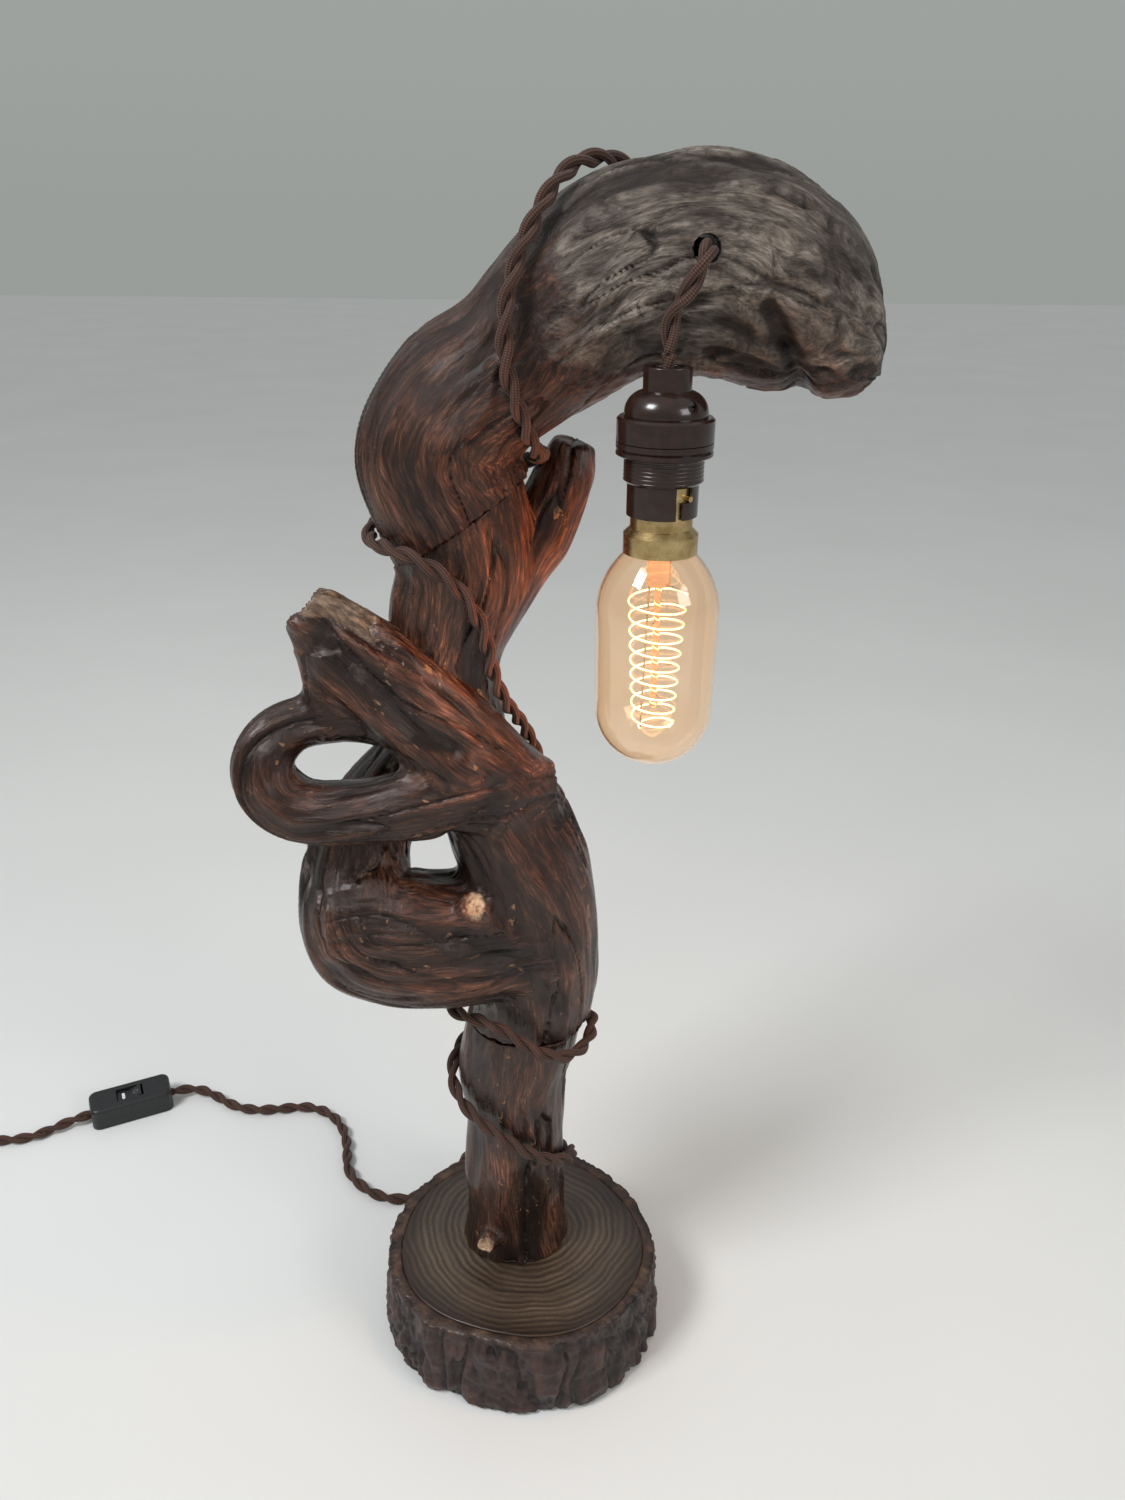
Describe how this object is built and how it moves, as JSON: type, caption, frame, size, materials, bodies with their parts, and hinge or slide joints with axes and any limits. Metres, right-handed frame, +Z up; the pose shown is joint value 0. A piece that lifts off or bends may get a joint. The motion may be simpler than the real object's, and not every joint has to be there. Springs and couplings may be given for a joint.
{
  "type": "bedside lamp",
  "caption": "Bedside lamp of found wood: a bark-edged log slice with a knotted stem that arches over to hang a bare bulb and lampholder on braided flex, with an inline switch and plug.",
  "frame": {"origin": "on the table, under the middle of the log slice", "axes": "+Z up, +X to the right of the picture's view and +Y to the back"},
  "size_m": [0.5752, 0.2281, 0.5546],
  "materials": {
    "dark_wood": "varnished",
    "grey_wood": "weathered",
    "slice_wood": "oiled",
    "bark": "rough",
    "dowel_wood": "plain",
    "felt": "felt",
    "flex": "braided",
    "steel": "plain",
    "brass": "plain",
    "bakelite": "gloss",
    "black_plastic": "satin",
    "amber_glass": "clear",
    "black_glass": "fused",
    "stem_glass": "clear",
    "filament_wire": "glowing",
    "strap": "plain"
  },
  "bodies": {
    "stand": {"base_felt": "felt", "base_slice": "slice_wood", "base_bark": "bark", "coach_washer": "steel", "coach_screw": "steel", "foot_stem": "dark_wood", "knot_stem": "dark_wood", "upper_stem": "dark_wood", "arch_head": "grey_wood", "foot_dowel": "dowel_wood", "neck_dowel": "dowel_wood", "arch_dowel": "dowel_wood", "flex_on_stem": "flex", "flex_in_head": "flex", "flex_drop_upper": "flex", "flex_to_switch": "flex", "flex_to_coil": "flex", "flex_coil": "flex", "flex_to_plug": "flex", "coil_tie": "strap", "switch_bottom": "black_plastic", "switch_top": "black_plastic", "switch_axle": "steel", "switch_contacts": "brass", "switch_screws": "steel", "plug_cover": "black_plastic", "plug_base": "black_plastic", "plug_line_pins": "brass", "plug_earth_pin": "brass", "plug_fuse": "steel", "plug_screw": "steel"},
    "rocker": {"switch_rocker": "black_plastic"},
    "drop": {"flex_drop_lower": "flex"},
    "pendant": {"holder_cap": "bakelite", "holder_body": "bakelite", "holder_insulator": "bakelite", "locking_screw": "steel", "terminal_screws": "brass", "plunger_springs": "steel", "flex_in_holder": "flex"},
    "shade_ring": {"shade_ring": "bakelite"},
    "plungers": {"plungers": "brass"},
    "bulb": {"bulb_cap": "brass", "bayonet_pins": "brass", "cap_glass": "black_glass", "cap_contacts": "steel", "bulb_glass": "amber_glass", "bulb_stem": "stem_glass", "filament": "filament_wire", "lead_wires": "steel", "support_wires": "steel"}
  },
  "joints": [
    {"name": "rocker_tilt", "type": "hinge", "parent": "stand", "child": "rocker", "pos_m": [-0.261, 0.142, 0.0118], "axis": [-0.4226, 0.9063, 0], "range_deg": [0, 18]},
    {"name": "swing_side", "type": "hinge", "parent": "stand", "child": "drop", "pos_m": [0.0525, -0.037, 0.496], "axis": [0, 1, 0], "range_deg": [-25, 15], "deforming": ["flex_drop_upper", "flex_drop_lower"]},
    {"name": "swing_fore", "type": "hinge", "parent": "drop", "child": "pendant", "pos_m": [0.0525, -0.037, 0.488], "axis": [1, 0, 0], "range_deg": [-30, 12], "deforming": ["flex_in_holder"]},
    {"name": "shade_ring_turn", "type": "hinge", "parent": "pendant", "child": "shade_ring", "pos_m": [0.0525, -0.037, 0.4612], "axis": [0, 0, 1], "continuous": true},
    {"name": "bulb_push", "type": "slide", "parent": "pendant", "child": "plungers", "axis": [0, 0, 1], "range_m": [0, 0.0025], "stiffness_N_per_m": 1500, "springref_m": -0.002, "deforming": ["plunger_springs"]},
    {"name": "bulb_turn", "type": "hinge", "parent": "plungers", "child": "bulb", "pos_m": [0.0525, -0.037, 0.446], "axis": [0, 0, 1], "range_deg": [-18, 0]}
  ]
}
